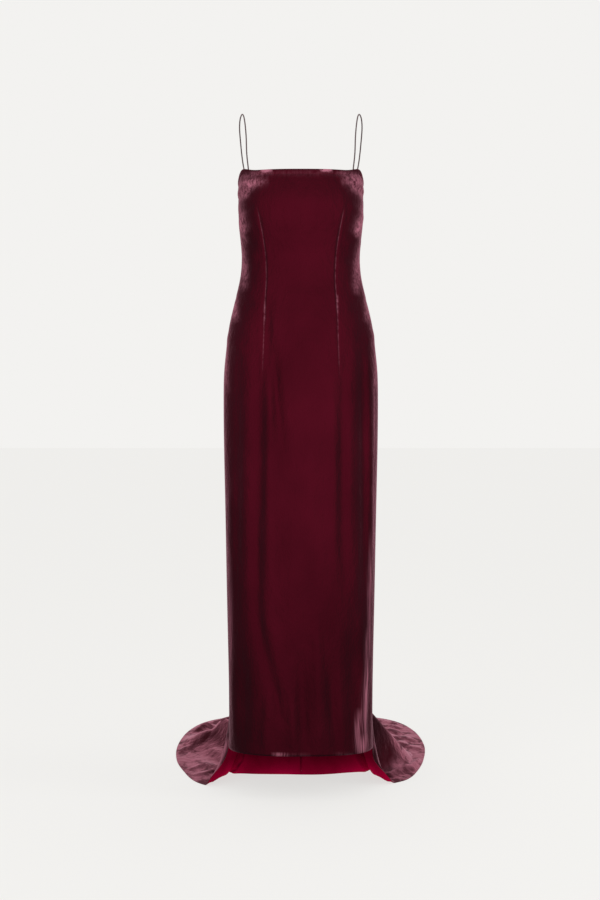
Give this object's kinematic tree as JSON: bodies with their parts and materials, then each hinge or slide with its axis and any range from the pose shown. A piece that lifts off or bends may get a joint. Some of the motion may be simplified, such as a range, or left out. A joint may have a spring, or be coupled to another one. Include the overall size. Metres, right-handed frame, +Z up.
{
  "type": "strappy velvet dress",
  "caption": "Full-length velvet column dress with a straight neck, thin shoulder straps, long front darts and a train lying on the floor behind.",
  "frame": {"origin": "midway between the tops of the two shoulder strap loops, where the wearer holds the dress up", "axes": "+Z up, the front faces -Y, +X towards the wearer's left"},
  "size_m": [0.6411, 0.9051, 1.5469],
  "materials": {
    "velvet": "soft pile velvet, dark burgundy seen square on and dusty pink at grazing angles, with a crimson wrong side",
    "strap": null
  },
  "bodies": {
    "root": {"front": "velvet", "back_left": "velvet", "back_right": "velvet", "strap_left": "strap", "strap_right": "strap"}
  },
  "joints": []
}
